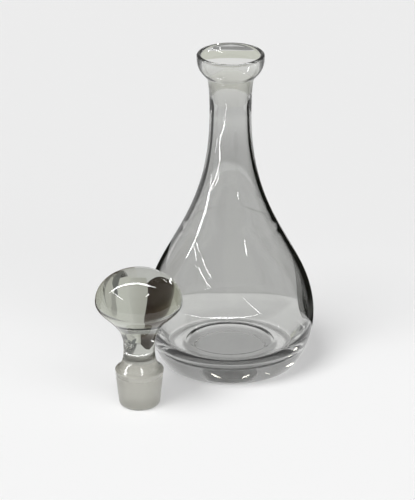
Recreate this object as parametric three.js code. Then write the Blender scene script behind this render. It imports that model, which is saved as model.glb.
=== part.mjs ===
// A blown glass carafe with a cup-shaped collar, and its solid ball stopper standing beside it.
// Millimetres, +Z up. The origin is the centre of the carafe's standing plane.

import * as THREE from 'three';

// Carafe, outside
const carafeHeight = 240;
const bellyRadius = 62;
const bellyHeight = 37.2;
const footFillet = 4;
const shoulderFullness = 49.9;
const neckSweep = 86.6;
const neckRadius = 15.2;
const neckWaistBelowLip = 46.5;

// Standing ring and the shallow hollow inside it
const hollowRadius = 27;
const hollowDepth = 0.8;
const hollowBevel = 1.2;

// Collar
const collarHeight = 18.4;
const collarRootRadius = 16.8;
const collarRadius = 24.6;
const collarFlare = 5.3;
const collarFullness = 8.8;
const neckFlare = 9;
const neckFlareSlope = 0.16;

// Glass thickness
const lipWall = 3.3;
const neckWall = 2.7;
const bellyWall = 2.6;
const floorThickness = 12.3;

// Inside of the base: a flat floor with a wide round corner up to the belly
const floorRadius = 33;
const floorCornerReach = 15;
const floorCornerRise = 17;

// Inside of the collar
const cupFullness = 8;
const cupFlare = 4.2;

// Ground joint, shared by the socket in the neck and the plug of the stopper
const groundTaper = 0.11;
const socketMouthRadius = 15.5;
const socketBelowLip = 17;
const socketLength = 14.5;
const socketStep = 0.8;
const seatDepth = 6;
const seatClearance = 0.05;

// Stopper
const plugLength = 27;
const plugBevelHeight = 1.8;
const plugBevelWidth = 1.6;
const shoulderRound = 2;
const shoulderSlope = 4.5;
const waistRadius = 11.3;
const waistHeight = 46.3;
const waistDrop = 6.5;
const stemSweep = 19;
const ballRadius = 31.4;
const ballHeight = 80.7;
const ballRise = 23.2;
const ballFullness = 8.9;

// Where the stopper stands, from the carafe's axis
const stopperRight = -65.8;
const stopperBack = -79.4;

// Facets
const carafeSides = 64;
const stopperSides = 48;

const clearGlass = { color: 0xd9dcd8, roughness: 0.03, metalness: 0, transparent: true, opacity: 0.4 };

const point = (radius, height) => new THREE.Vector2(radius, height);

// A cubic curve that leaves its start towards the first handle and reaches its end from the second.
function curve(start, startHandle, endHandle, end, steps) {
  return new THREE.CubicBezierCurve(start, startHandle, endHandle, end).getPoints(steps);
}

// An arc or a quarter ellipse about a centre, from one angle to another, in degrees.
function arc(centre, radiusAcross, radiusUp, fromDegrees, toDegrees, steps) {
  const from = THREE.MathUtils.degToRad(fromDegrees);
  const to = THREE.MathUtils.degToRad(toDegrees);
  const clockwise = to < from;
  const ellipse = new THREE.EllipseCurve(centre.x, centre.y, radiusAcross, radiusUp, from, to, clockwise);
  return ellipse.getPoints(steps);
}

// Joins stretches of outline, without repeating a point where one stretch starts at the end of another.
function outline(...stretches) {
  const joined = [];
  for (const next of stretches.flat()) {
    const last = joined[joined.length - 1];
    if (!last || last.distanceTo(next) > 1e-6) joined.push(next);
  }
  return joined;
}

// A solid of revolution about the Z axis.
function turned(name, profile, sides, look) {
  const geometry = new THREE.LatheGeometry(profile, sides);
  geometry.rotateX(Math.PI / 2);
  const mesh = new THREE.Mesh(geometry, new THREE.MeshStandardMaterial(look));
  mesh.name = name;
  return mesh;
}

// Underside: the shallow hollow in the middle, its bevel and the standing ring.
function underside() {
  return [
    point(0, hollowDepth),
    point(hollowRadius - hollowBevel, hollowDepth),
    point(hollowRadius, 0),
  ];
}

// Outside of the belly: a fillet off the standing ring that is tangent to the round lower belly,
// then one long curve over the shoulder into the neck.
function bellyOutside() {
  const filletCentre = point(
    Math.sqrt((bellyRadius - footFillet) ** 2 - (bellyHeight - footFillet) ** 2),
    footFillet,
  );
  const tangent = THREE.MathUtils.radToDeg(Math.atan2(filletCentre.y - bellyHeight, filletCentre.x));
  const waist = point(neckRadius, carafeHeight - neckWaistBelowLip);
  return [
    ...arc(filletCentre, footFillet, footFillet, -90, tangent, 4),
    ...arc(point(0, bellyHeight), bellyRadius, bellyRadius, tangent, 0, 7),
    ...curve(
      point(bellyRadius, bellyHeight),
      point(bellyRadius, bellyHeight + shoulderFullness),
      point(waist.x, waist.y - neckSweep),
      waist,
      18,
    ),
  ];
}

// Outside of the neck above its waist, the collar, and the half round of the lip.
function collarOutside() {
  const waist = point(neckRadius, carafeHeight - neckWaistBelowLip);
  const root = point(collarRootRadius, carafeHeight - collarHeight);
  const lipHeight = carafeHeight - lipWall / 2;
  return [
    ...curve(
      waist,
      point(waist.x, waist.y + neckFlare),
      point(root.x - neckFlare * neckFlareSlope, root.y - neckFlare),
      root,
      4,
    ),
    ...curve(
      root,
      point(root.x + collarFlare, root.y + collarFlare),
      point(collarRadius, lipHeight - collarFullness),
      point(collarRadius, lipHeight),
      7,
    ),
    ...arc(point(collarRadius - lipWall / 2, lipHeight), lipWall / 2, lipWall / 2, 0, 180, 6),
  ];
}

// Inside, from the lip down: the cup of the collar, the ground socket with the step under it,
// the bore, the belly and the floor.
function inside() {
  const cupRadius = collarRadius - lipWall;
  const lipHeight = carafeHeight - lipWall / 2;
  const mouth = point(socketMouthRadius, carafeHeight - socketBelowLip);
  const socketEnd = point(mouth.x - socketLength * groundTaper, mouth.y - socketLength);
  const bore = neckRadius - neckWall;
  const waistHeightInside = carafeHeight - neckWaistBelowLip;
  const bellyInside = bellyRadius - bellyWall;
  return [
    ...curve(
      point(cupRadius, lipHeight),
      point(cupRadius, lipHeight - cupFullness),
      point(mouth.x + cupFlare, mouth.y + cupFlare),
      mouth,
      6,
    ),
    socketEnd,
    point(bore, socketEnd.y - socketStep),
    ...curve(
      point(bore, waistHeightInside),
      point(bore, waistHeightInside - neckSweep),
      point(bellyInside, bellyHeight + shoulderFullness),
      point(bellyInside, bellyHeight),
      16,
    ),
    ...curve(
      point(bellyInside, bellyHeight),
      point(bellyInside, bellyHeight - floorCornerRise),
      point(floorRadius + floorCornerReach, floorThickness),
      point(floorRadius, floorThickness),
      8,
    ),
    point(0, floorThickness),
  ];
}

// The plug is the socket's own cone, so that it seats when it has gone seatDepth into the mouth.
function stopperProfile() {
  const plugTipRadius = socketMouthRadius - seatDepth * groundTaper - seatClearance;
  const plugTopRadius = plugTipRadius + (plugLength - plugBevelHeight) * groundTaper;
  const slopeFoot = point(plugTopRadius - shoulderRound, plugLength + shoulderRound);
  return outline(
    [
      point(0, 0),
      point(plugTipRadius - plugBevelWidth, 0),
      point(plugTipRadius, plugBevelHeight),
    ],
    new THREE.QuadraticBezierCurve(
      point(plugTopRadius, plugLength),
      point(plugTopRadius + shoulderRound * groundTaper / 2, plugLength + shoulderRound / 2),
      slopeFoot,
    ).getPoints(3),
    curve(
      slopeFoot,
      point(slopeFoot.x - shoulderSlope, slopeFoot.y + shoulderSlope),
      point(waistRadius, waistHeight - waistDrop),
      point(waistRadius, waistHeight),
      6,
    ),
    curve(
      point(waistRadius, waistHeight),
      point(waistRadius, waistHeight + stemSweep),
      point(ballRadius, ballHeight - ballFullness),
      point(ballRadius, ballHeight),
      12,
    ),
    arc(point(0, ballHeight), ballRadius, ballRise, 0, 90, 9),
  );
}

const carafe = turned(
  'carafe_body',
  outline(underside(), bellyOutside(), collarOutside(), inside()),
  carafeSides,
  clearGlass,
);

const stopper = turned('stopper', stopperProfile(), stopperSides, clearGlass);

// The stopper has its own group, which is set down beside the carafe.
const stopperPlace = new THREE.Group();
stopperPlace.position.set(stopperRight, stopperBack, 0);
stopperPlace.add(stopper);

const carafeSet = new THREE.Group();
carafeSet.add(carafe, stopperPlace);

export default carafeSet;
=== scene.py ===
import math

import bpy
import numpy as np
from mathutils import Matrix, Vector
from mathutils.bvhtree import BVHTree


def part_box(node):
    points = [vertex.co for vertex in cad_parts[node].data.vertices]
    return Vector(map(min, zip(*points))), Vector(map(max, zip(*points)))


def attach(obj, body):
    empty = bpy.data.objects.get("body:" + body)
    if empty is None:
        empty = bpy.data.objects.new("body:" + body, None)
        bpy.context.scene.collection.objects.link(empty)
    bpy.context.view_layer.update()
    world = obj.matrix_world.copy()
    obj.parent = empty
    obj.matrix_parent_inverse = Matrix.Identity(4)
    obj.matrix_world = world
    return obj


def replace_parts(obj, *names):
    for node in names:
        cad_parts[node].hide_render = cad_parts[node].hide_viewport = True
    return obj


# A clear glass carafe with a cup-shaped collar, and its solid ball stopper standing beside it.
# The glass and the boards are written in millimetres. Light, floor and materials are in metres, as the
# meshes are.
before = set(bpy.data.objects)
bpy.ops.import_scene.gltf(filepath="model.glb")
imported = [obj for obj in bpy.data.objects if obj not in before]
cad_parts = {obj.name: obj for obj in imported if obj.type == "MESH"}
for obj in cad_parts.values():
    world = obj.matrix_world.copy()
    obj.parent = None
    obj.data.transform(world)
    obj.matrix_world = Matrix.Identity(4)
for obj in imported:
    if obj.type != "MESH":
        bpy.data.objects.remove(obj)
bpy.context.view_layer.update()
_, carafe_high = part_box("carafe_body")
stopper_low, stopper_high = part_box("stopper")

MM = 0.001

# Carafe, outside
CARAFE_HEIGHT = carafe_high.z / MM
BELLY_RADIUS = 62
BELLY_HEIGHT = 37.2
FOOT_FILLET = 4
SHOULDER_FULLNESS = 49.9
NECK_SWEEP = 86.6
NECK_RADIUS = 15.2
NECK_WAIST_BELOW_LIP = 46.5
NECK_WAIST_HEIGHT = CARAFE_HEIGHT - NECK_WAIST_BELOW_LIP

# Standing ring and the shallow hollow inside it
HOLLOW_RADIUS = 27
HOLLOW_DEPTH = 0.8
HOLLOW_BEVEL = 1.2

# Collar
COLLAR_HEIGHT = 18.4
COLLAR_ROOT_RADIUS = 16.8
COLLAR_RADIUS = 24.6
COLLAR_FLARE = 5.3
COLLAR_FULLNESS = 8.8
NECK_FLARE = 9
NECK_FLARE_SLOPE = 0.16

# Glass thickness
LIP_WALL = 3.3
NECK_WALL = 2.7
BELLY_WALL = 2.6
FLOOR_THICKNESS = 12.3
LIP_HEIGHT = CARAFE_HEIGHT - LIP_WALL / 2

# Inside of the base and of the collar
FLOOR_RADIUS = 33
FLOOR_CORNER_REACH = 15
FLOOR_CORNER_RISE = 17
CUP_FULLNESS = 9.6
CUP_FLARE = 5.2

# Shallow rings pressed into the floor: the radius, the half width and the height of each
FLOOR_RINGS = ((33.6, 0.8, 0.62), (30.8, 0.9, -0.34), (25.6, 0.8, 0.22))

# Slow waves of the blown wall, and more of them on its inside: the size of each, its number round the axis,
# its turn in radians and the height in which it turns by one radian. They fade out up the neck.
OUTER_WAVES = ((0.05, 2, 0.7, 60), (0.03, 3, -1.1, 35))
INNER_WAVES = ((0.10, 2, -0.4, 45), (0.06, 5, 0.0, 22))
WAVE_FADE = (150, 200)
SWAY_FULL_RADIUS = 10

# Fine wear of the standing ring: how high it reaches, where it is strong at the front and at the outer edge,
# how strong it is at that edge and elsewhere, and how milky it looks
WEAR_HEIGHT = 1.5
WEAR_SOFTNESS = 0.4
WEAR_FRONT = (0.3, 0.7)
FRONT_WEAR_SPAN = (34, 37)
EDGE_WEAR_SPAN = (44, 46)
EDGE_WEAR = 0.95
RING_WEAR = 0.05
WEAR_CLOUD = 0.5

# Ground joint
GROUND_TAPER = 0.11
SOCKET_MOUTH_RADIUS = 15.5
SOCKET_BELOW_LIP = 17
SOCKET_MOUTH_HEIGHT = CARAFE_HEIGHT - SOCKET_BELOW_LIP
SOCKET_LENGTH = 14.5
SOCKET_EASE = 6
SEAT_DEPTH = 6
SEAT_CLEARANCE = 0.05

# The ground band of the socket: the arch and the waves of its lower edge, and how softly it ends
GRIND_ARCH = 11
GRIND_WAVE = 0.6
GRIND_WAVES = 3
GRIND_SOFTNESS = 0.5
GRIND_END = (-0.3, 0.5)
GRIND_CLEARANCE = 1

# Stopper
PLUG_LENGTH = 27
PLUG_BEVEL_HEIGHT = 1.8
PLUG_BEVEL_WIDTH = 1.6
SHOULDER_ROUND = 2
SHOULDER_SLOPE = 4.5
WAIST_RADIUS = 11.3
WAIST_HEIGHT = 46.3
WAIST_DROP = 6.5
STEM_SWEEP = 19
BALL_RADIUS = (stopper_high.x - stopper_low.x) / 2 / MM
BALL_HEIGHT = 80.7
BALL_RISE = 23.2
BALL_FULLNESS = 8.9
BALL_OVAL = 0.04
BALL_OVAL_TURN = 0.5

# Air bubble in the stem
BUBBLE_ASIDE = 5.3
BUBBLE_HEIGHT = 48.8
BUBBLE_RADIUS = 2.4
BUBBLE_REACH = 5

# The ground cone of the plug, whose top is slightly wavy, and the milky look that reaches over it
PLUG_GROUND_FOOT = (0.2, 0.8)
PLUG_GROUND_TOP = 24.5
PLUG_GROUND_SOFTNESS = 2.5
PLUG_GROUND_WAVE = 0.3
PLUG_GROUND_TURN = 0.6
PLUG_CLOUD_TOP = 36
PLUG_CLOUD_SOFTNESS = 1.2

# Small rounds of the edges, and how far from them the next points lie
EDGE_ROUND = 0.5
HOLLOW_GAP = 0.6
RING_GAP = 0.7
PLUG_EDGE_ROUND = 0.45
PLUG_FOOT_GAP = 0.6
PLUG_SIDE_GAP = (0.1, 0.9)
SOCKET_GAP = (0.05, 0.4)

# How far in from the rim of the floor its fine points start and end, and its coarse points start
FLOOR_FINE_START = 0.2
FLOOR_FINE_END = 6
FLOOR_COARSE_START = 7

# Facets of the fine surfaces, and the distance under which two points are one
CARAFE_SIDES = 192
STOPPER_SIDES = 160
BUBBLE_SIDES = 48
SAME_POINT = 1e-4

# Where the two stand, in metres
CARAFE_CENTRE = (0, 0)
STOPPER_CENTRE = ((stopper_low.x + stopper_high.x) / 2, (stopper_low.y + stopper_high.y) / 2)

# Camera, worked out from the outline of the carafe in the photograph
PHOTO_WIDTH = 415
PHOTO_HEIGHT = 500
CAMERA_ELEVATION = 23.3
CAMERA_DISTANCE = 2.4
PIXELS_PER_METRE = 1364.5
AIM_HEIGHT = 0.120
AIM_PIXEL = (230.23, 207.7)
SENSOR = 36
CAMERA_END = 40

# Kinds of ray that a stage object may show to
ALL_RAYS = ("camera", "diffuse", "glossy", "transmission", "volume_scatter", "shadow")
BY_WAY_OF_GLASS = ("glossy", "transmission")
THROUGH_GLASS = ("transmission",)
MIRRORED = ("glossy",)

# The room as the glass shows it: its levels in front, behind, overhead and straight up, and where they meet,
# as parts of a direction. AMBIENT_LEVEL is its light on matt surfaces.
FRONT_WALL_LEVEL = 0.16
BACK_WALL_LEVEL = 0.33
SKY_LEVEL = 0.42
ZENITH_LEVEL = 0.70
AMBIENT_LEVEL = 0.13
WALL_SPAN = (-0.3, 0.3)
SKY_SPAN = (0.35, 0.75)
ZENITH_SPAN = (0.90, 0.97)

# Two wide soft suns: the strength, the side it shines from and the width in degrees of each
KEY_LAMP = (2.32, (-0.33, -0.33, 0.885), 28)
FILL_LAMP = (0.98, (0.44, -0.63, 0.64), 50)

# The pale floor: its colour near the object and behind it, and the share of it that glows to the camera and
# to the glass
FLOOR_COLOUR = (0.93, 0.93, 0.93)
FAR_FLOOR_COLOUR = (0.85, 0.85, 0.85)
FLOOR_COLOUR_SPAN = (-0.06, 0.25)
FLOOR_SIDES = 96
FLOOR_REACH = 9.0
FLOOR_DROP = 0.00015
FLOOR_GLOW_CAMERA = 0.38
FLOOR_GLOW_GLASS = 0.8

# Painted light and shade: how light the floor's glow shows in the glass, from near to far: a pale sheet with
# a wavy edge and a darker line along it, the floor, a darker run that gets lighter, and the pale horizon
SHEET_LEVEL = 1.10
SHEET_WAVE = 0.012
SHEET_WAVE_NOISE = (22, 2, 0.5)
SHEET_EDGE = (0.106, 0.109)
SHEET_LINE = 0.16
SHEET_LINE_START = (0.104, 0.107)
SHEET_LINE_END = (0.107, 0.112)
FLOOR_LEVEL = 0.75
FAR_EDGE = (0.394, 0.406)
FAR_LEVEL = 0.46
FAR_END = 0.62
FAR_END_LEVEL = 0.80
HORIZON_SPAN = (1.05, 1.35)
HORIZON_LEVEL = 1.05

# Painted shadow under the base: a darker oval of the floor's glow, as the glass shows it. Its edge, its
# level, and how the place is moved and stretched
UNDER_SHADOW_SPAN = (0.0385, 0.0435)
UNDER_SHADOW_LEVEL = 0.48
UNDER_SHADOW_SHIFT = (0, 0.006, 0)
UNDER_SHADOW_SCALE = (1.12, 1, 1)

# Upright boards beside and behind the object, which show in the glass alone: how far behind the axis of the
# carafe each stands, and its outline as places to the right and up
WOOD_BOARD = (
    0,
    (
        (-108, 0), (-92, 7), (-84, 13.5), (-78, 20), (-74.3, 25), (-72, 27),
        (-72, 250), (-300, 250), (-300, 0),
    ),
)
DARK_BOARD = (50, ((62, 0), (62, 76), (44, 108), (37, 132), (60, 150), (300, 150), (300, 0)))
GREY_BOARD = (51, ((55.5, 0), (55.5, 60), (58, 76), (63, 76), (63, 0)))
SHOULDER_BOARD = (50, ((-60, 46), (-58, 62), (-53, 80), (-300, 80), (-300, 46)))

# The ball shows, from right to left: the wood board, a pale card, a dark streak and a greenish card
BALL_CARD = (
    -25,
    (
        (-69.7, 40), (-69.5, 50), (-69.1, 58), (-68.8, 64), (-68.7, 86), (-69.4, 93), (-69.4, 112),
        (-57.8, 112), (-57.8, 40),
    ),
)
SIDE_CARD = (-35.5, ((-66, 49), (-66, 95), (-60.9, 95), (-60.9, 49)))
GREEN_CARD = (-35.5, ((-60.9, 49), (-60.9, 95), (-50.3, 95), (-50.3, 40)))
STREAK_CARD = (
    -36,
    (
        (-52, 30), (-56, 40), (-57.5, 47), (-59.8, 52), (-62.6, 56), (-62.6, 57.5), (-64.1, 57.5),
        (-63.9, 52), (-62.6, 46.5), (-61.5, 40), (-59, 34),
    ),
)
LOW_STREAK_CARD = (
    -36,
    ((-61.0, 57.5), (-63.1, 57.5), (-62.8, 63), (-61.8, 68), (-58.8, 72), (-57.5, 69), (-60.0, 63.5)),
)

# Cards behind the collar, the cup in it and the lip
COLLAR_CARD = (27, ((-30, 186), (-30, 227), (30, 227), (30, 186)))
CUP_CARD = (27, ((-30, 227), (-30, 233), (30, 233), (30, 227)))
LIP_CARD = (
    27,
    (
        (-15, 233.6), (-13, 235.2), (-6, 236.1), (6, 236.1), (14, 235.2), (19, 233.4), (12, 233.3),
        (0, 233.7), (-8, 233.8),
    ),
)

# Colours of the boards and cards. A run has a place in millimetres with each of its colours.
PALE_RUN = ((-68.5, (0.72, 0.72, 0.67)), (-61.5, (0.98, 0.99, 0.95)))
COLLAR_RUN = (
    (186, (0.54, 0.54, 0.53)),
    (214, (0.70, 0.70, 0.68)),
    (217, (0.66, 0.66, 0.64)),
    (222, (0.84, 0.84, 0.83)),
)
SIDE_COLOUR = (0.94, 0.95, 0.90)
GREEN_COLOUR = (0.78, 0.78, 0.73)
STREAK_COLOUR = (0.24, 0.25, 0.25)
LOW_STREAK_COLOUR = (0.56, 0.56, 0.53)
CUP_COLOUR = (0.63, 0.64, 0.57)
DARK_COLOUR = (0.015, 0.015, 0.012)
GREY_COLOUR = (0.27, 0.27, 0.265)

# Wood: its colours, how its grain is stretched, its noise and stripes, the heights where it gets lighter and
# where it fades, and how much
WOOD_COLOUR = (0.030, 0.016, 0.005)
LIGHT_WOOD_COLOUR = (0.115, 0.080, 0.050)
FADED_WOOD_COLOUR = (0.27, 0.25, 0.20)
WOOD_STRETCH = (0.4, 1, 4)
WOOD_NOISE = (14, 4, 0.65)
WOOD_STRIPES = (0.50, 0.80)
WOOD_STRIPE_SHARE = 0.5
LIGHT_WOOD_SPAN = (0.050, 0.064)
LIGHT_WOOD_SHARE = 0.5
FADED_WOOD_SPAN = (0.090, 0.115)
FADED_WOOD_SHARE = 0.7

# A board fades out where it is seen along its face: 0 is straight on and 1 is edge-on
ALONG_SPAN = (0.82, 0.92)

# Square cards to the right and left of the ball: the middle in metres, the way the back faces, half the
# width and the colour
PALE_CARDS = (
    ((0.008, -0.092, 0.127), (0.72, -0.49, 0.48), 0.045, (0.86, 0.87, 0.80)),
    ((-0.150, -0.128, 0.125), (-0.76, -0.48, 0.44), 0.045, (0.62, 0.62, 0.53)),
)
CARD_CORNERS = ((-1, -1), (1, -1), (1, 1), (-1, 1))

# Thin bright ribbons for the lamps that the glass mirrors. Each is written as the pixels of the photograph
# where the outside of the glass shows it: half its width in pixels, its brightness and its run of pixels.
# Each set of ribbons has its distance from the glass in metres.
LAMP_STEPS = 3
LAMP_TIP = 0.3
WHITE = (1, 1, 1)
WARM = (1, 0.98, 0.86)
LAMP_REACH = 0.03
CARAFE_LAMPS = (
    (0.35, 8, ((225, 101), (226.5, 106), (225.5, 113), (225, 120))),
    (
        0.6, 22,
        ((225, 119), (223.5, 128), (220.5, 137), (219.8, 143), (219.5, 150), (219.8, 158), (219.3, 163)),
    ),
    (0.5, 20, ((219.3, 163), (217.5, 171), (215, 179), (211.5, 186.5), (210, 190.5))),
    (0.4, 18, ((218.2, 170), (218.5, 176), (217.5, 181), (215, 185.5), (212.5, 188.5), (209.6, 191))),
    (0.4, 14, ((211.5, 174), (210.8, 179), (210.5, 184), (209.4, 190))),
    (0.4, 9, ((217.5, 136), (217, 141), (216.5, 146), (214.8, 153.5))),
    (0.3, 9, ((223.3, 117), (223.7, 120.5))),
    (
        0.8, 26,
        ((209.6, 190), (208.5, 197), (206.8, 205), (204, 215), (201.5, 222), (198.5, 231), (195.5, 239)),
    ),
    (0.6, 22, ((195.5, 239), (193, 245), (189.5, 252), (186, 258.5))),
    (0.45, 18, ((195.6, 239), (196.8, 244), (198.2, 248.5), (199.7, 252.5))),
    (0.45, 18, ((193.4, 243), (194.8, 250), (195.8, 256), (196.6, 261))),
    (0.45, 20, ((201.2, 256), (203.5, 262.5), (206.5, 269.5), (209, 274), (211.7, 277.7))),
    (0.35, 14, ((211.9, 277.6), (207.5, 279))),
    (0.45, 20, ((198.3, 266.5), (200.5, 271.5), (203.5, 277.5), (206.5, 282.5), (210.5, 287.8))),
    (0.35, 14, ((210.6, 287.7), (205, 289.2))),
    (0.35, 8, ((195, 264.5), (196, 267), (198, 267.5))),
    (0.8, 18, ((237, 192), (238.7, 199.5))),
    (0.7, 18, ((244.3, 239), (244.9, 245), (246, 249.5), (246.6, 255.5))),
    (0.4, 16, ((243, 298), (250, 305), (257.5, 311.5), (262, 314))),
    (0.4, 16, ((183, 314.5), (200, 317.3), (225, 318.3), (245, 317.3), (255, 315.8), (262, 312.2))),
    (0.4, 12, ((278, 324), (279, 330))),
)
NEAR_REACH = 0.004
COLLAR_LAMPS = (
    (0.5, 12, ((217.5, 44.5), (219.5, 46), (220.5, 47))),
    (0.5, 12, ((212, 48.5), (217, 50), (222, 51.5))),
    (0.8, 16, ((208.5, 50), (208.4, 52))),
    (0.7, 14, ((249.4, 65.5), (248.6, 69), (246.8, 72.2))),
    (0.5, 12, ((241.5, 73.3), (246.5, 73.5))),
)
BASE_REACH = 0.003
BASE_LAMPS = (
    (0.9, 16, ((210.5, 373.5), (215, 375.8), (221, 378))),
    (0.8, 16, ((242, 378), (245.5, 376.4), (249.5, 375))),
    (1.2, 14, ((293.8, 350.5), (297, 347.5))),
    (0.5, 10, ((288, 357), (292, 355.5))),
    (0.5, 12, ((286, 366.5), (290, 364.9), (293.5, 362.8))),
    (0.5, 10, ((265, 373), (270, 374))),
)
STOPPER_LAMPS = (
    (
        0.8, 22,
        ((109.3, 292.6), (116.8, 287.6), (125.5, 284.5), (135.5, 283.5), (144.3, 284.5), (155.5, 287.4)),
    ),
    (0.5, 16, ((112.4, 291.4), (117.4, 295.8), (123, 299.9))),
    (0.8, 18, ((146.1, 295.8), (149.5, 293.9))),
    (0.4, 10, ((161.8, 278.3), (167, 282))),
    (0.6, 16, ((171.1, 278.9), (169.9, 281.4), (171.5, 283.9))),
    (0.6, 16, ((124.5, 352.5), (130, 355), (137, 356), (144, 355.5), (149.5, 353.5))),
    (0.7, 16, ((132, 363.5), (127.5, 367), (125.2, 371), (125, 374), (126.2, 377))),
    (0.6, 24, ((141, 368), (142, 372), (142.3, 376.5))),
    (1.0, 10, ((151.2, 340.2), (153.8, 342))),
)

# Glass. A tint is what is left of the light after two crossings. Heights are in metres.
GLASS_IOR = 1.5
GLASS_TINT = (0.64, 0.645, 0.63)
STOPPER_TINT = (0.50, 0.51, 0.475)
INNER_TINT = (0.985, 0.985, 0.98)
SKIN_SPAN = (0.001, 0.004)
NECK_CLEAR_TINT = (0.80, 0.805, 0.79)
NECK_CLEAR_SPAN = (0.168, 0.192)
SOCKET_TINT = (0.90, 0.90, 0.84)
SOCKET_CLOUD = 0.15
PLUG_TINT = (0.61, 0.605, 0.55)
PLUG_CLOUD = 0.50
CLOUD_CHANGE = (0.92, 1.08)

# Painted shade: dark lines where the inside wall is seen edge-on: the facing values, from 0 straight on to 1
# edge-on, where they start, and where they end at the belly, the neck, the cup and the lip
EDGE_SHADE_TINT = (0.030, 0.030, 0.025)
EDGE_START_SPAN = (0.232, 0.252)
EDGE_END_SOFTNESS = 0.03
BELLY_EDGE_END = 0.275
NECK_EDGE_END = 0.305
CUP_EDGE_END = 0.75
LIP_EDGE_END = 0.45

# Heights, in metres, between which the painted dark lines change, and the middle of the cup and the front of
# the lip, where they are left out
FLOOR_CORNER_SPAN = (0.032, 0.055)
BELLY_TO_NECK_SPAN = (0.09, 0.15)
SOCKET_FOOT_SPAN = (0.2065, 0.2090)
CUP_FOOT_SPAN = (0.222, 0.226)
LIP_SPAN = (0.229, 0.233)
CUP_MIDDLE_SPAN = (0.009, 0.013)
LIP_FRONT_SPAN = (-0.016, -0.004)

# Roughness: noises as scale, detail and roughness, the part of each that shows, and what it does
SMUDGE_NOISE = (38, 4, 0.6)
SMUDGE_SPAN = (0.52, 0.78)
SMUDGE_ROUGHNESS = 0.022
WEAR_NOISE = (300, 4, 0.6)
WEAR_SPAN = (0.3, 0.7)
WEAR_CHANGE = (0.8, 1.0)
WEAR_ROUGHNESS = 0.6
GRAIN_NOISE = (2600, 3, 0.7)
GRIND_NOISE = (320, 3, 0.6)
GRIND_STRETCH = (1, 1, 14)
GRIND_SPAN = (0.3, 0.7)
GRIND_ROUGHNESS = (0.34, 0.46)
BUMP_STRENGTH = 0.25
BUMP_DISTANCE = 0.00006


def smooth_step(value, low, high):
    """0 below low, 1 above high and a smooth step between them."""
    t = np.clip((np.asarray(value, float) - low) / (high - low), 0, 1)
    return t * t * (3 - 2 * t)


def cubic(start, start_handle, end_handle, end, steps):
    """Points on the cubic curve of four points."""
    t = np.linspace(0, 1, steps + 1)[:, None]
    points = [np.array(p, float) for p in (start, start_handle, end_handle, end)]
    weights = ((1 - t) ** 3, 3 * t * (1 - t) ** 2, 3 * t**2 * (1 - t), t**3)
    return sum(w * p for w, p in zip(weights, points))


def parabola(start, handle, end, steps):
    """Points on the parabola of three points."""
    t = np.linspace(0, 1, steps + 1)[:, None]
    start, handle, end = (np.array(p, float) for p in (start, handle, end))
    return (1 - t) ** 2 * start + 2 * t * (1 - t) * handle + t**2 * end


def arc(centre, across, up, start_degrees, end_degrees, steps):
    """Points on an arc of a circle or an ellipse."""
    angle = np.radians(np.linspace(start_degrees, end_degrees, steps + 1))
    return np.stack([centre[0] + across * np.cos(angle), centre[1] + up * np.sin(angle)], 1)


def line(start, end, steps):
    """Evenly spaced points on a straight line."""
    return np.linspace(np.array(start, float), np.array(end, float), steps + 1)


def corner(before, at, after, radius, steps):
    """A small round at a corner: a parabola from radius before the corner to radius after it."""
    before, at, after = (np.array(p, float) for p in (before, at, after))
    enter = at + (before - at) * radius / np.linalg.norm(before - at)
    leave = at + (after - at) * radius / np.linalg.norm(after - at)
    return parabola(enter, at, leave, steps)


def joined(outside, inside=()):
    """One outline of the outer and then the inner wall, without repeated points, and for each point 1
    where it lies on the inside and 0 elsewhere."""
    points = np.concatenate([*outside, *inside])
    marks = np.ones(len(points))
    marks[: sum(len(stretch) for stretch in outside)] = 0
    apart = np.linalg.norm(np.diff(points, axis=0), axis=1) > SAME_POINT
    keep = np.concatenate([[True], apart])
    return points[keep], marks[keep]


def carafe_foot():
    """Underside and lower belly: the hollow, its bevel, the standing ring, a fillet that touches the
    standing plane and the round of the belly, and that round."""
    fillet_centre = (
        math.sqrt((BELLY_RADIUS - FOOT_FILLET) ** 2 - (BELLY_HEIGHT - FOOT_FILLET) ** 2),
        FOOT_FILLET,
    )
    tangent = math.degrees(math.atan2(fillet_centre[1] - BELLY_HEIGHT, fillet_centre[0]))
    middle = (0, HOLLOW_DEPTH)
    hollow_edge = (HOLLOW_RADIUS - HOLLOW_BEVEL, HOLLOW_DEPTH)
    ring_edge = (HOLLOW_RADIUS, 0)
    ring_end = (fillet_centre[0], 0)
    return [
        line(middle, (hollow_edge[0] - HOLLOW_GAP, HOLLOW_DEPTH), steps=14),
        corner(middle, hollow_edge, ring_edge, EDGE_ROUND, steps=4),
        corner(hollow_edge, ring_edge, ring_end, EDGE_ROUND, steps=4),
        line((HOLLOW_RADIUS + RING_GAP, 0), ring_end, steps=10),
        arc(fillet_centre, FOOT_FILLET, FOOT_FILLET, -90, tangent, steps=12),
        arc((0, BELLY_HEIGHT), BELLY_RADIUS, BELLY_RADIUS, tangent, 0, steps=28),
    ]


def shoulder(belly, neck):
    """The long curve of one wall, from the widest place of the belly up to the waist of the neck."""
    return cubic(
        (belly, BELLY_HEIGHT),
        (belly, BELLY_HEIGHT + SHOULDER_FULLNESS),
        (neck, NECK_WAIST_HEIGHT - NECK_SWEEP),
        (neck, NECK_WAIST_HEIGHT),
        steps=80,
    )


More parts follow.
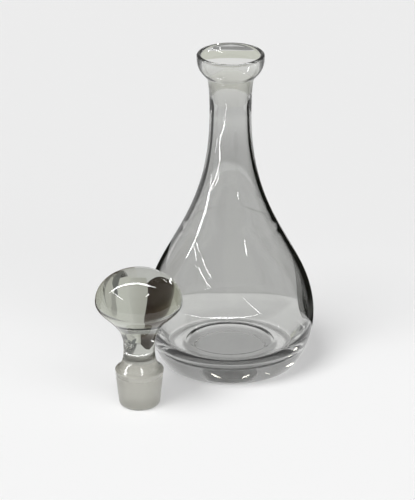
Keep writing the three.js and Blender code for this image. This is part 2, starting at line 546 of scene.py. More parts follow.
def carafe_outside():
    """Outside above the belly: the shoulder and the neck, the collar, and the half round lip. The collar's
    root is left out of both curves that meet there, so that the glass turns smoothly."""
    root = (COLLAR_ROOT_RADIUS, CARAFE_HEIGHT - COLLAR_HEIGHT)
    neck = cubic(
        (NECK_RADIUS, NECK_WAIST_HEIGHT),
        (NECK_RADIUS, NECK_WAIST_HEIGHT + NECK_FLARE),
        (root[0] - NECK_FLARE * NECK_FLARE_SLOPE, root[1] - NECK_FLARE),
        root,
        steps=16,
    )
    collar = cubic(
        root,
        (root[0] + COLLAR_FLARE, root[1] + COLLAR_FLARE),
        (COLLAR_RADIUS, LIP_HEIGHT - COLLAR_FULLNESS),
        (COLLAR_RADIUS, LIP_HEIGHT),
        steps=24,
    )
    lip = arc((COLLAR_RADIUS - LIP_WALL / 2, LIP_HEIGHT), LIP_WALL / 2, LIP_WALL / 2, 0, 180, steps=16)
    return [shoulder(BELLY_RADIUS, NECK_RADIUS), neck[:-1], collar[1:], lip]


def carafe_inside():
    """Inside from the lip down: cup, ground socket, bore, belly, corner of the floor, and floor."""
    cup_radius = COLLAR_RADIUS - LIP_WALL
    mouth = (SOCKET_MOUTH_RADIUS, SOCKET_MOUTH_HEIGHT)
    socket_end = (mouth[0] - SOCKET_LENGTH * GROUND_TAPER, mouth[1] - SOCKET_LENGTH)
    bore = NECK_RADIUS - NECK_WALL
    belly_inside = BELLY_RADIUS - BELLY_WALL
    cup = cubic(
        (cup_radius, LIP_HEIGHT),
        (cup_radius, LIP_HEIGHT - CUP_FULLNESS),
        (mouth[0] + CUP_FLARE, mouth[1] + CUP_FLARE),
        mouth,
        steps=20,
    )
    socket = line(
        (mouth[0] - SOCKET_GAP[0], mouth[1] - SOCKET_GAP[1]),
        (socket_end[0] + SOCKET_GAP[0], socket_end[1] + SOCKET_GAP[1]),
        steps=24,
    )
    ease = cubic(
        socket_end,
        (socket_end[0] - SOCKET_EASE * GROUND_TAPER, socket_end[1] - SOCKET_EASE),
        (bore, NECK_WAIST_HEIGHT + SOCKET_EASE),
        (bore, NECK_WAIST_HEIGHT),
        steps=20,
    )
    wall = shoulder(belly_inside, bore)[::-1]
    floor_corner = cubic(
        (belly_inside, BELLY_HEIGHT),
        (belly_inside, BELLY_HEIGHT - FLOOR_CORNER_RISE),
        (FLOOR_RADIUS + FLOOR_CORNER_REACH, FLOOR_THICKNESS),
        (FLOOR_RADIUS, FLOOR_THICKNESS),
        steps=36,
    )
    fine_floor = line(
        (FLOOR_RADIUS - FLOOR_FINE_START, FLOOR_THICKNESS),
        (FLOOR_RADIUS - FLOOR_FINE_END, FLOOR_THICKNESS),
        steps=30,
    )
    coarse_floor = line((FLOOR_RADIUS - FLOOR_COARSE_START, FLOOR_THICKNESS), (0, FLOOR_THICKNESS), steps=20)
    return [cup[1:-1], socket, ease, wall, floor_corner, fine_floor, coarse_floor]


def stopper_outline():
    """The stopper's half section, from the middle of its foot up to the crown of the ball."""
    tip = SOCKET_MOUTH_RADIUS - SEAT_DEPTH * GROUND_TAPER - SEAT_CLEARANCE
    top = tip + (PLUG_LENGTH - PLUG_BEVEL_HEIGHT) * GROUND_TAPER
    foot_edge = (tip - PLUG_BEVEL_WIDTH, 0)
    bevel_top = (tip, PLUG_BEVEL_HEIGHT)
    side_foot = (tip + PLUG_SIDE_GAP[0], PLUG_BEVEL_HEIGHT + PLUG_SIDE_GAP[1])
    plug_top = (top, PLUG_LENGTH)
    round_handle = (top + SHOULDER_ROUND * GROUND_TAPER / 2, PLUG_LENGTH + SHOULDER_ROUND / 2)
    slope_foot = (top - SHOULDER_ROUND, PLUG_LENGTH + SHOULDER_ROUND)
    slope = cubic(
        slope_foot,
        (slope_foot[0] - SHOULDER_SLOPE, slope_foot[1] + SHOULDER_SLOPE),
        (WAIST_RADIUS, WAIST_HEIGHT - WAIST_DROP),
        (WAIST_RADIUS, WAIST_HEIGHT),
        steps=28,
    )
    stem = cubic(
        (WAIST_RADIUS, WAIST_HEIGHT),
        (WAIST_RADIUS, WAIST_HEIGHT + STEM_SWEEP),
        (BALL_RADIUS, BALL_HEIGHT - BALL_FULLNESS),
        (BALL_RADIUS, BALL_HEIGHT),
        steps=60,
    )
    return joined(
        [
            line((0, 0), (foot_edge[0] - PLUG_FOOT_GAP, 0), steps=10),
            corner((0, 0), foot_edge, bevel_top, PLUG_EDGE_ROUND, steps=3),
            corner(foot_edge, bevel_top, plug_top, PLUG_EDGE_ROUND, steps=3),
            line(side_foot, plug_top, steps=40)[:-1],
            parabola(plug_top, round_handle, slope_foot, steps=8),
            slope,
            stem,
            arc((0, BALL_HEIGHT), BALL_RADIUS, BALL_RISE, 0, 90, steps=48),
        ]
    )


def write_mark(mesh, name, values):
    """Writes a value from 0 to 1 on each point of the mesh, which a material reads by its name."""
    mesh.attributes.new(name, "FLOAT", "POINT").data.foreach_set("value", values.astype(np.float32))


def turned_mesh(name, outline, sides, centre, sway=None, rise=None):
    """A turned surface with the mark "inside" on its points. The outline's first and last points lie on
    the axis and close the ends. sway(angle, height, inside) is a small change of radius, which fades out
    towards the axis, and rise(radius, inside) a small change of height."""
    points, inside = outline
    radius, height, ring_inside = points[1:-1, :1], points[1:-1, 1:], inside[1:-1, None]
    angle = np.linspace(0, 2 * np.pi, sides, endpoint=False)[None, :]
    lift = rise(radius, ring_inside) if rise else 0
    if sway:
        radius = radius + sway(angle, height, ring_inside) * smooth_step(radius, 0, SWAY_FULL_RADIUS)
    across = radius * np.cos(angle)
    upward = np.broadcast_to(height + lift, across.shape)
    grid = np.stack([across, radius * np.sin(angle), upward], 2)
    verts = np.concatenate([grid.reshape(-1, 3), [[0, 0, points[0, 1]], [0, 0, points[-1, 1]]]]) * MM
    verts += np.array([centre[0], centre[1], 0])
    rings = len(ring_inside)
    index = np.arange(rings * sides).reshape(rings, sides)
    after = np.roll(index, -1, axis=1)
    quads = np.stack([index[:-1], after[:-1], after[1:], index[1:]], 2).reshape(-1, 4)
    start, end = rings * sides, rings * sides + 1
    first_fan = np.stack([np.full(sides, start), after[0], index[0]], 1)
    last_fan = np.stack([index[-1], after[-1], np.full(sides, end)], 1)
    mesh = bpy.data.meshes.new(name)
    mesh.from_pydata(verts.tolist(), [], quads.tolist() + first_fan.tolist() + last_fan.tolist())
    mesh.polygons.foreach_set("use_smooth", np.ones(len(mesh.polygons), bool))
    write_mark(mesh, "inside", np.concatenate([np.repeat(ring_inside, sides), inside[[0, -1]]]))
    mesh.update()
    return mesh


def add_marks(mesh, centre, **amounts):
    """Adds marks to the mesh's points, each worked out by its amount(angle, radius, height, inside)."""
    places = np.zeros(len(mesh.vertices) * 3, np.float32)
    mesh.vertices.foreach_get("co", places)
    places = places.reshape(-1, 3).astype(float)
    inside = np.zeros(len(mesh.vertices), np.float32)
    mesh.attributes["inside"].data.foreach_get("value", inside)
    aside = places[:, 0] - centre[0]
    behind = places[:, 1] - centre[1]
    angle, radius, height = np.arctan2(behind, aside), np.hypot(aside, behind) / MM, places[:, 2] / MM
    for name, amount in amounts.items():
        write_mark(mesh, name, amount(angle, radius, height, inside))


def waves(angle, height, rows):
    """The sum of the waves round the axis and up the wall."""
    return sum(size * np.cos(number * angle + turn + height / slow) for size, number, turn, slow in rows)


def carafe_sway(angle, height, inside):
    """The slight slow waves of blown glass, with more of them on the inside."""
    outer = waves(angle, height, OUTER_WAVES)
    inner = waves(angle, height, INNER_WAVES)
    below_neck = 1 - smooth_step(height, *WAVE_FADE)
    return np.where(inside > 0.5, (outer + inner) * below_neck, outer * below_neck)


def carafe_rise(radius, inside):
    """Shallow pressed rings in the floor of the belly: each is a bell curve of the radius."""
    rings = sum(height * np.exp(-(((radius - at) / width) ** 2)) for at, width, height in FLOOR_RINGS)
    return inside * rings * (radius < FLOOR_RADIUS + FLOOR_CORNER_REACH / 2)


def stopper_sway(angle, height, inside):
    """The pressed ball is almost true: a very slight oval, and none on the ground plug."""
    return BALL_OVAL * np.cos(2 * angle + BALL_OVAL_TURN) * smooth_step(height, PLUG_LENGTH, WAIST_HEIGHT)


def socket_ground(angle, radius, height, inside):
    """The ground band of the socket. Its lower edge is level behind and rises in an arch to the front."""
    foot = SOCKET_MOUTH_HEIGHT - SOCKET_LENGTH + GRIND_WAVE * np.cos(GRIND_WAVES * angle)
    foot = foot + GRIND_ARCH * np.clip(-np.sin(angle), 0, 1) ** 2
    above_foot = smooth_step(height, foot - GRIND_SOFTNESS, foot + GRIND_SOFTNESS)
    below_mouth = 1 - smooth_step(height, *(SOCKET_MOUTH_HEIGHT + end for end in GRIND_END))
    return inside * above_foot * below_mouth * (radius < SOCKET_MOUTH_RADIUS + GRIND_CLEARANCE)


def standing_wear(angle, radius, height, inside):
    """The fine wear of the standing ring: strong at its front and its outer edge, and slight elsewhere."""
    low = (1 - inside) * (1 - smooth_step(height, WEAR_HEIGHT / 2, WEAR_HEIGHT))
    ring = smooth_step(radius, HOLLOW_RADIUS - WEAR_SOFTNESS, HOLLOW_RADIUS + WEAR_SOFTNESS)
    front = smooth_step(-np.sin(angle), *WEAR_FRONT) * smooth_step(radius, *FRONT_WEAR_SPAN)
    strong = np.maximum(front, EDGE_WEAR * smooth_step(radius, *EDGE_WEAR_SPAN))
    return low * ring * (RING_WEAR + (1 - RING_WEAR) * strong)


def plug_ground(angle, radius, height, inside):
    """The rough ground cone of the plug, between the bevel of its tip and a little below its shoulder."""
    top = PLUG_GROUND_TOP + PLUG_GROUND_WAVE * np.cos(2 * angle + PLUG_GROUND_TURN)
    above_foot = smooth_step(height, *PLUG_GROUND_FOOT)
    return above_foot * (1 - smooth_step(height, top - PLUG_GROUND_SOFTNESS, top + PLUG_GROUND_SOFTNESS))


def plug_cloud(angle, radius, height, inside):
    """The milky look of the plug, which reaches over its shoulder to the foot of the stem."""
    low, high = PLUG_CLOUD_TOP - PLUG_CLOUD_SOFTNESS, PLUG_CLOUD_TOP + PLUG_CLOUD_SOFTNESS
    return 1 - smooth_step(height, low, high)


class Shading:
    """Builds the nodes of a material or a world."""

    def __init__(self, owner):
        owner.use_nodes = True
        self.owner = owner
        self.tree = owner.node_tree

    def add(self, kind, inputs=None, **settings):
        made = self.tree.nodes.new(kind)
        for key, value in settings.items():
            setattr(made, key, value)
        for key, value in (inputs or {}).items():
            self.put(made.inputs[key], value)
        return made

    def put(self, socket, value):
        if isinstance(value, bpy.types.NodeSocket):
            self.tree.links.new(value, socket)
        else:
            socket.default_value = value

    def math(self, operation, first, second=0.0):
        return self.add("ShaderNodeMath", {0: first, 1: second}, operation=operation).outputs[0]

    def product(self, first, *others):
        """All of the values multiplied."""
        for other in others:
            first = self.math("MULTIPLY", first, other)
        return first

    def rest(self, share):
        """What is left of 1."""
        return self.math("SUBTRACT", 1.0, share)

    def ramp(self, value, low, high, start=0.0, end=1.0):
        """start at or below low, end at or above high, and a smooth step between them."""
        made = self.add(
            "ShaderNodeMapRange",
            {"Value": value, "From Min": low, "From Max": high, "To Min": start, "To Max": end},
            interpolation_type="SMOOTHSTEP",
        )
        return made.outputs["Result"]

    def blend(self, share, first, second):
        """A number between first and second."""
        return self.add("ShaderNodeMix", {0: share, 2: first, 3: second}, data_type="FLOAT").outputs[0]

    def mix(self, share, first, second):
        """A colour between first and second."""
        return self.add("ShaderNodeMix", {0: share, 6: first, 7: second}, data_type="RGBA").outputs[2]

    def noise(self, place, scale, detail, roughness):
        made = self.add(
            "ShaderNodeTexNoise",
            {"Vector": place, "Scale": scale, "Detail": detail, "Roughness": roughness},
        )
        return made.outputs["Fac"]

    def place(self):
        """The place on the object, in metres."""
        return self.add("ShaderNodeTexCoord").outputs["Object"]

    def stretched(self, place, scale, shift=(0, 0, 0)):
        """The place times a scale and then moved."""
        return self.add("ShaderNodeMapping", {"Vector": place, "Location": shift, "Scale": scale}).outputs[0]

    def parts(self, vector):
        """The X, Y and Z of a place or a direction."""
        return self.add("ShaderNodeSeparateXYZ", {"Vector": vector}).outputs

    def mark(self, name):
        """A mark on the mesh's points."""
        return self.add("ShaderNodeAttribute", attribute_name=name).outputs["Fac"]

    def facing(self):
        """0 where the surface is seen straight on, and 1 where it is seen edge-on."""
        return self.add("ShaderNodeLayerWeight", {"Blend": 0.5}).outputs["Facing"]

    def from_behind(self):
        """1 where the surface is seen from its back."""
        return self.add("ShaderNodeNewGeometry").outputs["Backfacing"]

    def surface(self, shader):
        """Finishes a material with its shader."""
        self.put(self.add("ShaderNodeOutputMaterial").inputs["Surface"], shader)
        return self.owner


def new_material(name):
    """The empty shading of a new material."""
    s = Shading(bpy.data.materials.new(name))
    s.tree.nodes.clear()
    return s


def opaque(colour):
    """A colour with full alpha."""
    return (*colour, 1.0)


def painted_edge_shade(s, parts, inside, ground):
    """Painted shade on the inside wall: it darkens where it is seen edge-on from within the glass, but not
    near the floor, on the ground socket, in the middle of the cup or at the front of the lip. The dark line
    is narrower at the belly than at the neck, and wide at the cup."""
    height = parts["Z"]
    facing = s.facing()
    end = s.ramp(height, *BELLY_TO_NECK_SPAN, BELLY_EDGE_END, NECK_EDGE_END)
    end = s.math("ADD", end, s.ramp(height, *CUP_FOOT_SPAN, 0.0, CUP_EDGE_END - NECK_EDGE_END))
    end = s.math("SUBTRACT", end, s.ramp(height, *LIP_SPAN, 0.0, CUP_EDGE_END - LIP_EDGE_END))
    before_end = s.ramp(s.math("SUBTRACT", facing, end), 0.0, EDGE_END_SOFTNESS, 1.0, 0.0)
    edge_shade = s.product(s.ramp(facing, *EDGE_START_SPAN), before_end, s.from_behind())
    cup = s.ramp(height, *CUP_FOOT_SPAN)
    clear_of_socket = s.math("ADD", s.ramp(height, *SOCKET_FOOT_SPAN, 1.0, 0.0), cup)
    middle = s.ramp(s.math("ABSOLUTE", parts["X"]), *CUP_MIDDLE_SPAN, 1.0, 0.0)
    front = s.ramp(parts["Y"], *LIP_FRONT_SPAN, 1.0, 0.0)
    left_out = s.product(cup, s.blend(s.ramp(height, *LIP_SPAN), middle, front))
    wall = s.product(inside, s.ramp(height, *FLOOR_CORNER_SPAN), s.rest(ground), clear_of_socket)
    return s.product(edge_shade, s.product(wall, s.rest(left_out)))


def glass_material(name, tint, ground_tint, cloud_share):
    """Clear polished glass with a faint grey tint, rough where the mark "ground" is, milky where "cloud" is
    and both where "worn" is. Its inside wall has painted shade: dark edges where it is seen edge-on."""
    s = new_material(name)
    place = s.place()
    parts = s.parts(place)
    height = parts["Z"]
    ground, cloud, inside = s.mark("ground"), s.mark("cloud"), s.mark("inside")
    edge_shade = painted_edge_shade(s, parts, inside, ground)
    smudge = s.noise(place, *SMUDGE_NOISE)
    grains = s.noise(place, *GRAIN_NOISE)
    grinding = s.noise(s.stretched(place, GRIND_STRETCH), *GRIND_NOISE)
    worn = s.product(s.mark("worn"), s.ramp(s.noise(place, *WEAR_NOISE), *WEAR_SPAN, *WEAR_CHANGE))
    smudged = s.ramp(smudge, *SMUDGE_SPAN, 0.0, SMUDGE_ROUGHNESS)
    polished = s.math("ADD", smudged, s.product(worn, WEAR_ROUGHNESS))
    roughness = s.blend(ground, polished, s.ramp(grinding, *GRIND_SPAN, *GRIND_ROUGHNESS))
    skin = s.product(s.rest(inside), s.ramp(height, *SKIN_SPAN))
    outer = s.mix(s.ramp(height, *NECK_CLEAR_SPAN), opaque(tint), opaque(NECK_CLEAR_TINT))
    colour = s.mix(skin, opaque(INNER_TINT), outer)
    colour = s.mix(cloud, colour, opaque(ground_tint))
    # Painted shade: the inside wall is near black, and not clear, where it is seen edge-on
    colour = s.mix(edge_shade, colour, opaque(EDGE_SHADE_TINT))
    cloud_low, cloud_high = (cloud_share * change for change in CLOUD_CHANGE)
    milky = s.product(cloud, s.ramp(grinding, *GRIND_SPAN, cloud_low, cloud_high))
    milky = s.math("MAXIMUM", milky, s.product(worn, WEAR_CLOUD))
    relief = s.product(s.math("ADD", grains, grinding), ground)
    bump = s.add("ShaderNodeBump", {"Strength": BUMP_STRENGTH, "Distance": BUMP_DISTANCE, "Height": relief})
    shader = s.add(
        "ShaderNodeBsdfPrincipled",
        {
            "Base Color": colour,
            "Roughness": roughness,
            "IOR": GLASS_IOR,
            "Transmission Weight": s.rest(s.math("MAXIMUM", milky, edge_shade)),
            "Normal": bump.outputs[0],
        },
    )
    return s.surface(shader.outputs[0])


def seen_share(s, camera, glass):
    """How much of its written colour a surface shows: camera for a direct look, glass for a look through
    or by way of the object."""
    path = s.add("ShaderNodeLightPath").outputs
    by_glass = s.math("MAXIMUM", path["Is Glossy Ray"], path["Is Transmission Ray"])
    return s.math("ADD", s.product(path["Is Camera Ray"], camera), s.product(by_glass, glass))


def floor_level(s, place, behind):
    """Painted light and shade: how light the floor's glow shows in the glass, by how far behind it lies
    and how near to the middle.
    """
    wavy = s.product(s.noise(place, *SHEET_WAVE_NOISE), SHEET_WAVE)
    behind = s.math("ADD", behind, wavy)
    level = s.ramp(behind, *SHEET_EDGE, SHEET_LEVEL, FLOOR_LEVEL)
    line_start = s.product(s.ramp(behind, *SHEET_LINE_START), SHEET_LINE)
    level = s.math("SUBTRACT", level, s.product(line_start, s.ramp(behind, *SHEET_LINE_END, 1.0, 0.0)))
    far = s.ramp(behind, FAR_EDGE[0], FAR_END, FAR_LEVEL / FLOOR_LEVEL, FAR_END_LEVEL / FLOOR_LEVEL)
    level = s.product(level, s.blend(s.ramp(behind, *FAR_EDGE), 1.0, far))
    level = s.math("MAXIMUM", level, s.ramp(behind, *HORIZON_SPAN, 0.0, HORIZON_LEVEL))
    # Painted shadow: the floor's glow is darker in an oval under the base
    under = s.stretched(place, UNDER_SHADOW_SCALE, UNDER_SHADOW_SHIFT)
    away = s.add("ShaderNodeVectorMath", {0: under}, operation="LENGTH").outputs["Value"]
    return s.product(level, s.ramp(away, *UNDER_SHADOW_SPAN, UNDER_SHADOW_LEVEL, 1.0))


def floor_material():
    """A plain pale floor, slightly darker behind. It keeps a soft shadow, and partly glows in its own
    colour: the glow that the glass shows carries painted light and shade.
    """
    s = new_material("pale_floor")
    place = s.place()
    behind = s.parts(place)["Y"]
    colour = s.mix(s.ramp(behind, *FLOOR_COLOUR_SPAN), opaque(FLOOR_COLOUR), opaque(FAR_FLOOR_COLOUR))
    matt = s.add("ShaderNodeBsdfDiffuse", {"Color": colour}).outputs[0]
    path = s.add("ShaderNodeLightPath").outputs
    # The glow that the glass shows carries the painted light and shade of floor_level
    strength = s.blend(path["Is Camera Ray"], floor_level(s, place, behind), 1.0)
    glow = s.add("ShaderNodeEmission", {"Color": colour, "Strength": strength}).outputs[0]
    share = seen_share(s, FLOOR_GLOW_CAMERA, FLOOR_GLOW_GLASS)
    return s.surface(s.add("ShaderNodeMixShader", {0: share, 1: matt, 2: glow}).outputs[0])


def glow_surface(s, colour, strength, hidden):
    """An even glow, which doesn't show where hidden is 1."""
    glow = s.add("ShaderNodeEmission", {"Color": colour, "Strength": strength}).outputs[0]
    unseen = s.add("ShaderNodeBsdfTransparent").outputs[0]
    return s.surface(s.add("ShaderNodeMixShader", {0: hidden, 1: glow, 2: unseen}).outputs[0])


def ribbon_material(name, colour, strength):
    """An even glow on the side that faces the glass. The other side doesn't show."""
    s = new_material(name)
    return glow_surface(s, opaque(colour), strength, s.from_behind())


def board_surface(s, colour):
    """An even colour on the front of a board. Its back and a look along it don't show."""
    return glow_surface(s, colour, 1.0, s.math("MAXIMUM", s.from_behind(), s.ramp(s.facing(), *ALONG_SPAN)))


def card_material(name, colour):
    """A card of one colour, as it shows in the glass."""
    return board_surface(new_material(name), opaque(colour))


def run_material(name, run, axis):
    """A card that changes smoothly from colour to colour at rising places along an axis."""
    s = new_material(name)
    along = s.parts(s.place())[axis]
    start, colour = run[0][0], opaque(run[0][1])
    for end, other in run[1:]:
        colour = s.mix(s.ramp(along, start * MM, end * MM), colour, opaque(other))
        start = end
    return board_surface(s, colour)


def wood_material(name):
    """Dark brown wood with level grain, in which lighter stripes run, and which fades towards the top."""
    s = new_material(name)
    place = s.place()
    height = s.parts(place)["Z"]
    grain = s.noise(s.stretched(place, WOOD_STRETCH), *WOOD_NOISE)
    light = s.ramp(grain, *WOOD_STRIPES, 0.0, WOOD_STRIPE_SHARE)
    light = s.math("ADD", light, s.ramp(height, *LIGHT_WOOD_SPAN, 0.0, LIGHT_WOOD_SHARE))
    colour = s.mix(light, opaque(WOOD_COLOUR), opaque(LIGHT_WOOD_COLOUR))
    faded = s.ramp(height, *FADED_WOOD_SPAN, 0.0, FADED_WOOD_SHARE)
    return board_surface(s, s.mix(faded, colour, opaque(FADED_WOOD_COLOUR)))


def new_object(name, data):
    """An object in the scene, at the origin and unturned."""
    made = bpy.data.objects.new(name, data)
    bpy.context.scene.collection.objects.link(made)
    return made


def stand(made, place, back):
    """Puts a lamp or the camera at its place, with its back to a direction."""
    made.location = place
    made.rotation_mode = "QUATERNION"
    made.rotation_quaternion = back.to_track_quat("Z", "Y")


def stage_object(name, verts, faces, material, seen_by):
    """A stage object that only the named kinds of ray see."""
    mesh = bpy.data.meshes.new(name)
    mesh.from_pydata(verts, [], faces)
    mesh.materials.append(material)
    made = new_object(name, mesh)
    for kind in ALL_RAYS:
        setattr(made, "visible_" + kind, kind in seen_by)


def make_floor():
    """A wide round floor."""
    angle = np.linspace(0, 2 * np.pi, FLOOR_SIDES, endpoint=False)
    down = np.full(FLOOR_SIDES, -FLOOR_DROP)
    rim = np.stack([FLOOR_REACH * np.cos(angle), FLOOR_REACH * np.sin(angle), down], 1)
    stage_object("floor", rim.tolist(), [list(range(FLOOR_SIDES))], floor_material(), ALL_RAYS)


def make_board(name, board, material, seen_by=THROUGH_GLASS):
    """An upright board with its front to the camera: its outline is reversed where the back would show."""
    behind, outline = board
    right, up = np.array(outline, float).T * MM
    verts = np.stack([right, np.full(len(right), behind * MM), up], 1)
    if np.sum(right * np.roll(up, -1) - np.roll(right, -1) * up) < 0:
        verts = verts[::-1]
    stage_object(name, verts.tolist(), [tuple(range(len(verts)))], material, seen_by)


def make_card(name, card):
    """A square card with its front to the ball, which only light through the glass meets."""
    middle, normal, half, colour = card
    normal = Vector(normal).normalized()
    across = normal.cross(Vector((0, 0, 1))).normalized() * half
    upward = across.cross(normal).normalized() * half
    verts = [Vector(middle) + across * u + upward * v for u, v in CARD_CORNERS]
    stage_object(name, verts, [(0, 1, 2, 3)], card_material(name, colour), THROUGH_GLASS)


def make_boards():
    """The boards and cards that show in the glass."""
    dark = card_material("dark_card", DARK_COLOUR)
    make_board("wood_board", WOOD_BOARD, wood_material("brown_wood"), BY_WAY_OF_GLASS)
    make_board("grey_board", GREY_BOARD, card_material("grey_card", GREY_COLOUR), BY_WAY_OF_GLASS)
    make_board("dark_board", DARK_BOARD, dark, BY_WAY_OF_GLASS)
    make_board("shoulder_board", SHOULDER_BOARD, dark, BY_WAY_OF_GLASS)
    make_board("ball_card", BALL_CARD, run_material("pale_run", PALE_RUN, "X"))
    make_board("collar_card", COLLAR_CARD, run_material("collar_run", COLLAR_RUN, "Z"))
    for name, board, colour in (
        ("side_card", SIDE_CARD, SIDE_COLOUR),
        ("green_card", GREEN_CARD, GREEN_COLOUR),
        ("streak_card", STREAK_CARD, STREAK_COLOUR),
        ("low_streak_card", LOW_STREAK_CARD, LOW_STREAK_COLOUR),
        ("cup_card", CUP_CARD, CUP_COLOUR),
        ("lip_card", LIP_CARD, GREY_COLOUR),
    ):
        make_board(name, board, card_material(name, colour))
    for number, card in enumerate(PALE_CARDS):
        make_card(f"pale_card_{number}", card)


def make_sky():
    """A plain grey room: dim in front of the object, paler behind it and lightest straight up."""
    world = bpy.data.worlds.new("pale_sky")
    s = Shading(world)
    parts = s.parts(s.add("ShaderNodeTexCoord").outputs["Generated"])
    wall = s.ramp(parts["Y"], *WALL_SPAN, FRONT_WALL_LEVEL, BACK_WALL_LEVEL)
    sky = s.ramp(parts["Z"], *ZENITH_SPAN, SKY_LEVEL, ZENITH_LEVEL)
    shown = s.blend(s.ramp(parts["Z"], *SKY_SPAN), wall, sky)
    background = s.tree.nodes["Background"]
    s.put(background.inputs["Color"], opaque(WHITE))
    s.put(background.inputs["Strength"], s.blend(seen_share(s, 1.0, 1.0), AMBIENT_LEVEL, shown))
    bpy.context.scene.world = world


def soft_lamp(name, lamp):
    """A far, wide and soft lamp that shows in no reflection."""
    strength, side, width = lamp
    data = bpy.data.lights.new(name, "SUN")
    data.energy = strength
    data.angle = math.radians(width)
    made = new_object(name, data)
    stand(made, side, Vector(side))
    for kind in ("camera", *BY_WAY_OF_GLASS):
        setattr(made, "visible_" + kind, False)


def camera_axes():
    """The camera's directions: to the right, up in the picture, and back from the object to the camera."""
    tilt = math.radians(CAMERA_ELEVATION)
    right = Vector((1, 0, 0))
    up = Vector((0, math.sin(tilt), math.cos(tilt)))
    back = Vector((0, -math.cos(tilt), math.sin(tilt)))
    return right, up, back


def make_camera():
    """The camera at the photograph's angle, moved so that the carafe sits where it does there."""
    right, up, back = camera_axes()
    aim = Vector((0, 0, AIM_HEIGHT))
    aside = (AIM_PIXEL[0] - PHOTO_WIDTH / 2) / PIXELS_PER_METRE
    above = (PHOTO_HEIGHT / 2 - AIM_PIXEL[1]) / PIXELS_PER_METRE
    data = bpy.data.cameras.new("photo_camera")
    data.sensor_width = SENSOR
    data.lens = PIXELS_PER_METRE * CAMERA_DISTANCE * SENSOR / PHOTO_HEIGHT
    data.clip_end = CAMERA_END
    camera = new_object("photo_camera", data)
    stand(camera, aim + back * CAMERA_DISTANCE - right * aside - up * above, back)
    bpy.context.scene.camera = camera
    return camera


def camera_ray(camera, pixel):
    """Where a pixel of the photograph looks from, and its direction."""
    per_width = PIXELS_PER_METRE * CAMERA_DISTANCE
    across = (pixel[0] - PHOTO_WIDTH / 2) / per_width
    upward = (PHOTO_HEIGHT / 2 - pixel[1]) / per_width
    right, up, back = camera_axes()
    return camera.location, (right * across + up * upward - back).normalized()


def mirrored_place(camera, tree, centre, reach, pixel):
    """The place, at a reach from the glass, that the outside of the glass mirrors into a pixel, and the way
    back to it. The face's own normal is turned about the axis to the exact azimuth of the spot."""
    origin, direction = camera_ray(camera, pixel)
    spot, normal, _, _ = tree.ray_cast(origin, direction)
    if spot is None:
        raise ValueError(f"no glass at pixel {pixel}")
    flat = math.hypot(normal.x, normal.y)
    outward = Vector((spot.x - centre[0], spot.y - centre[1], 0)).normalized()
    exact = outward * flat + Vector((0, 0, normal.z))
    way = direction.reflect(exact)
    return spot + way * reach, -way


def ribbon_rims(run, half_width):
    """The rims of a ribbon in pixels: its run moved half a width to each side, narrower at the tips."""
    run = np.array(run, float)
    last = len(run) - 1
    steps = np.linspace(0, last, LAMP_STEPS * last + 1)
    middle = np.stack([np.interp(steps, np.arange(last + 1), run[:, k]) for k in (0, 1)], 1)
    along = np.gradient(middle, axis=0)
    along /= np.linalg.norm(along, axis=1, keepdims=True)
    aside = np.stack([-along[:, 1], along[:, 0]], 1)
    taper = half_width * np.minimum(1, LAMP_TIP + np.minimum(steps, last - steps))[:, None]
    return middle + aside * taper, middle - aside * taper


def make_mirrored_lamps(camera, mesh, centre, lamps, reach, colour, name):
    """A bright ribbon for each run of pixels: its rims are traced back from the camera by way of the glass,
    and its faces are turned to the glass. Only reflections show it."""
    tree = BVHTree.FromPolygons([v.co for v in mesh.vertices], [tuple(p.vertices) for p in mesh.polygons])
    for number, (half_width, strength, run) in enumerate(lamps):
        rims = ribbon_rims(run, half_width)
        traced = [mirrored_place(camera, tree, centre, reach, pixel) for rim in rims for pixel in rim]
        verts = np.array([place for place, _ in traced])
        ways = np.array([way for _, way in traced])
        count = len(rims[0])
        first = np.arange(count - 1)
        faces = np.stack([first, first + 1, count + first + 1, count + first], 1)
        corners = verts[faces]
        normals = np.cross(corners[:, 1] - corners[:, 0], corners[:, 3] - corners[:, 0])
        turned_away = (normals * ways[faces].mean(1)).sum(1) < 0
        faces[turned_away] = faces[turned_away][:, ::-1]
        material = ribbon_material(f"{name}_{number}", colour, strength)
        stage_object(f"{name}_{number}", verts.tolist(), faces.tolist(), material, MIRRORED)


def make_carafe_mesh():
    """The blown carafe with its ground socket and its worn standing ring."""
    outline = joined([*carafe_foot(), *carafe_outside()], carafe_inside())
    mesh = turned_mesh("carafe_glass", outline, CARAFE_SIDES, CARAFE_CENTRE, carafe_sway, carafe_rise)
    add_marks(mesh, CARAFE_CENTRE, ground=socket_ground, cloud=socket_ground, worn=standing_wear)
    return mesh


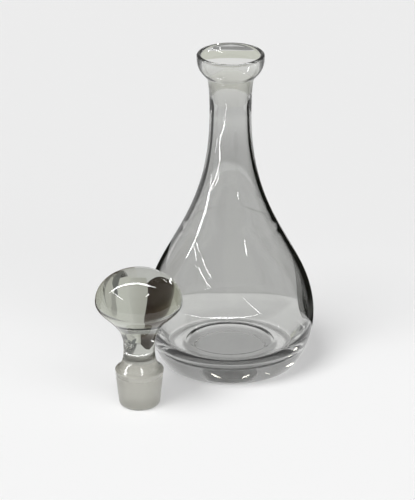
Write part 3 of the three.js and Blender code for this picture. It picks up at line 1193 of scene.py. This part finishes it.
def make_stopper_mesh():
    """The ball stopper with its ground plug."""
    mesh = turned_mesh("stopper_glass", stopper_outline(), STOPPER_SIDES, STOPPER_CENTRE, stopper_sway)
    add_marks(mesh, STOPPER_CENTRE, ground=plug_ground, cloud=plug_cloud)
    return mesh


def make_bubble_mesh():
    """The long air bubble in the stopper's stem, turned from its crown down, so that its faces look in."""
    outline = joined([], [arc((0, BUBBLE_HEIGHT), BUBBLE_RADIUS, BUBBLE_REACH, 90, -90, steps=32)])
    centre = (STOPPER_CENTRE[0] - BUBBLE_ASIDE * MM, STOPPER_CENTRE[1])
    return turned_mesh("air_bubble", outline, BUBBLE_SIDES, centre)


def piece(name, mesh, body, material):
    """Puts a finished mesh into the scene as a piece that rides on a body."""
    made = new_object(name, mesh)
    mesh.materials.append(material)
    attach(made, body)
    return made


def main():
    """The stage, the two glass pieces with the lamps that they mirror, and the bubble."""
    bpy.context.scene.view_settings.view_transform = "Standard"
    camera = make_camera()
    make_sky()
    make_floor()
    make_boards()
    soft_lamp("key_lamp", KEY_LAMP)
    soft_lamp("fill_lamp", FILL_LAMP)
    carafe_mesh = make_carafe_mesh()
    stopper_mesh = make_stopper_mesh()
    for mesh, centre, lamps, reach, colour, name in (
        (carafe_mesh, CARAFE_CENTRE, CARAFE_LAMPS, LAMP_REACH, WHITE, "carafe_lamp"),
        (carafe_mesh, CARAFE_CENTRE, BASE_LAMPS, BASE_REACH, WARM, "base_lamp"),
        (carafe_mesh, CARAFE_CENTRE, COLLAR_LAMPS, NEAR_REACH, WHITE, "collar_lamp"),
        (stopper_mesh, STOPPER_CENTRE, STOPPER_LAMPS, NEAR_REACH, WHITE, "stopper_lamp"),
    ):
        make_mirrored_lamps(camera, mesh, centre, lamps, reach, colour, name)
    clear = glass_material("carafe_clear_glass", GLASS_TINT, SOCKET_TINT, SOCKET_CLOUD)
    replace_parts(piece("blown_carafe", carafe_mesh, "carafe", clear), "carafe_body")
    solid = glass_material("stopper_clear_glass", STOPPER_TINT, PLUG_TINT, PLUG_CLOUD)
    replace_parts(piece("ball_stopper", stopper_mesh, "stopper", solid), "stopper")
    piece("air_bubble", make_bubble_mesh(), "stopper", solid)


main()
